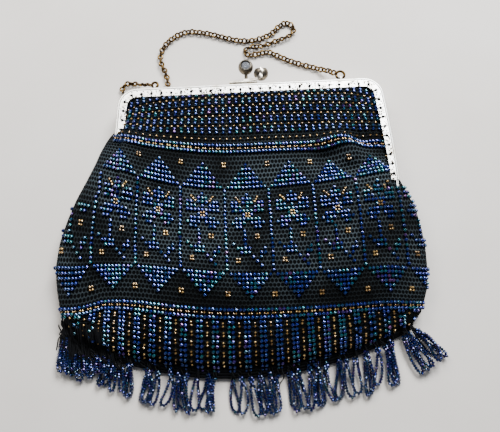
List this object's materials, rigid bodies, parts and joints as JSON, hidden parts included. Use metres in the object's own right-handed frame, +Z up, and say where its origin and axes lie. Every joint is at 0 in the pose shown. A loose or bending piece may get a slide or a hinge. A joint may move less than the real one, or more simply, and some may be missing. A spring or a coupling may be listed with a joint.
{
  "type": "beaded handbag",
  "caption": "Small knitted handbag covered with dark blue seed beads in geometric bands, on a silvered purse frame with a knob clasp, a looped bead fringe and a thin bronze chain.",
  "frame": {"origin": "centre of the bounding box at the surface the bag lies on", "axes": "+X to the right across the bag seen from its front, +Y from the fringe to the clasp, +Z up from the back of the bag to its front"},
  "size_m": [0.2098, 0.2374, 0.024],
  "materials": {
    "beaded_knit": "open charcoal knit covered with dark blue iris seed beads and small gold beads",
    "seed_beads": "dark blue iris glass seed beads strung in loops",
    "silvered_brass": "pale silvered metal with a fine stippled engraving",
    "nickel": "polished nickel, slightly warm with age",
    "clear_stone": "clear faceted glass",
    "antique_bronze": "darkened antique bronze with bright worn edges"
  },
  "bodies": {
    "root": {"pouch": "beaded_knit", "fringe": "seed_beads", "front_frame": "silvered_brass", "back_frame": "silvered_brass", "hinge_rivet_left": "silvered_brass", "hinge_rivet_right": "silvered_brass", "front_clasp": "nickel", "back_clasp": "nickel", "clasp_stone": "clear_stone", "chain_ring_left": "antique_bronze", "chain_ring_right": "antique_bronze", "handle_chain": "antique_bronze"}
  },
  "joints": []
}
